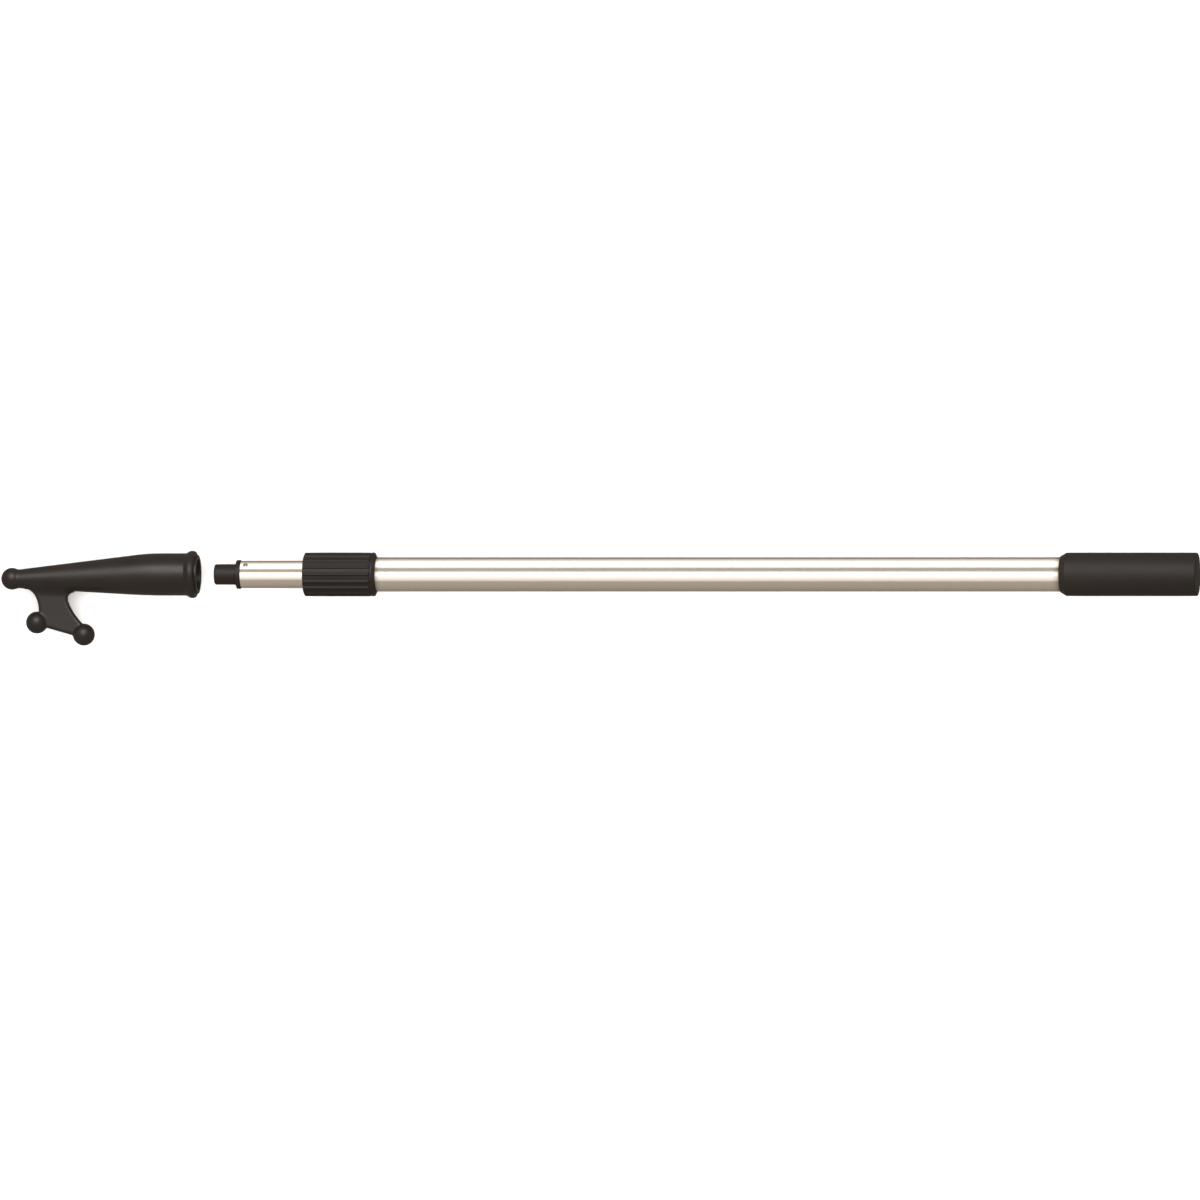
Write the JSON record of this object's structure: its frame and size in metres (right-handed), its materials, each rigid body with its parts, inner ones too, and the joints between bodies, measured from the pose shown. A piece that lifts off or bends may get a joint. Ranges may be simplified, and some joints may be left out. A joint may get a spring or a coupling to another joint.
{
  "type": "telescoping boat hook",
  "caption": "Telescoping aluminium boat hook with a twist-lock collar, a hand grip and a push-fit three-ball hook head, shown pulled off its spigot.",
  "frame": {"origin": "centre of the hand grip's flat end face, on the pole's axis", "axes": "+X along the pole, out of the grip's end face; the hook's tip is towards -X, its prongs point to -Y and its web lies in the XY plane; +Z is square to the web"},
  "size_m": [1.1199, 0.0881, 0.0442],
  "materials": {
    "anodised_tube": "satin champagne anodised",
    "rivet_metal": "bright",
    "nylon_black": "moulded semi-matt",
    "grip_black": "moulded matt",
    "acetal_natural": "turned, smooth",
    "seal_rubber": "matt"
  },
  "bodies": {
    "outer_pole": {"outer_tube": "anodised_tube", "hand_grip": "grip_black", "butt_plug": "nylon_black", "lock_ferrule": "acetal_natural", "front_guide_sleeve": "acetal_natural", "clamp_collet": "acetal_natural", "ferrule_pin_1": "rivet_metal", "ferrule_pin_2": "rivet_metal"},
    "squeeze_carrier": {"squeeze_ring": "acetal_natural"},
    "lock_nut": {"lock_collar": "nylon_black", "wiper_seal": "seal_rubber"},
    "rear_bush": {"rear_guide_bush": "acetal_natural"},
    "inner_pole": {"inner_tube": "anodised_tube", "tip_plug": "nylon_black", "tip_rivet_1": "rivet_metal", "tip_rivet_2": "rivet_metal", "inner_rear_plug": "nylon_black", "rear_plug_pin_1": "rivet_metal", "rear_plug_pin_2": "rivet_metal"},
    "hook": {"hook_head": "nylon_black"}
  },
  "joints": [
    {"name": "collar_advance", "type": "slide", "parent": "outer_pole", "child": "squeeze_carrier", "axis": [-1, 0, 0], "range_m": [0, 0.0015]},
    {"name": "collar_turn", "type": "hinge", "parent": "squeeze_carrier", "child": "lock_nut", "pos_m": [-0.8, 0, 0], "axis": [-1, 0, 0], "range_deg": [0, 180]},
    {"name": "pole_extend", "type": "slide", "parent": "outer_pole", "child": "rear_bush", "axis": [-1, 0, 0], "range_m": [-0.05, 0.552]},
    {"name": "inner_pole_turn", "type": "hinge", "parent": "rear_bush", "child": "inner_pole", "pos_m": [-0.8, 0, 0], "axis": [-1, 0, 0], "continuous": true},
    {"name": "head_pull", "type": "slide", "parent": "inner_pole", "child": "hook", "axis": [1, 0, 0], "range_m": [0, 0.0408]}
  ],
  "couplings": [
    {"joint": "collar_advance", "follows": "collar_turn", "m_per_rad": 0.00047746}
  ]
}
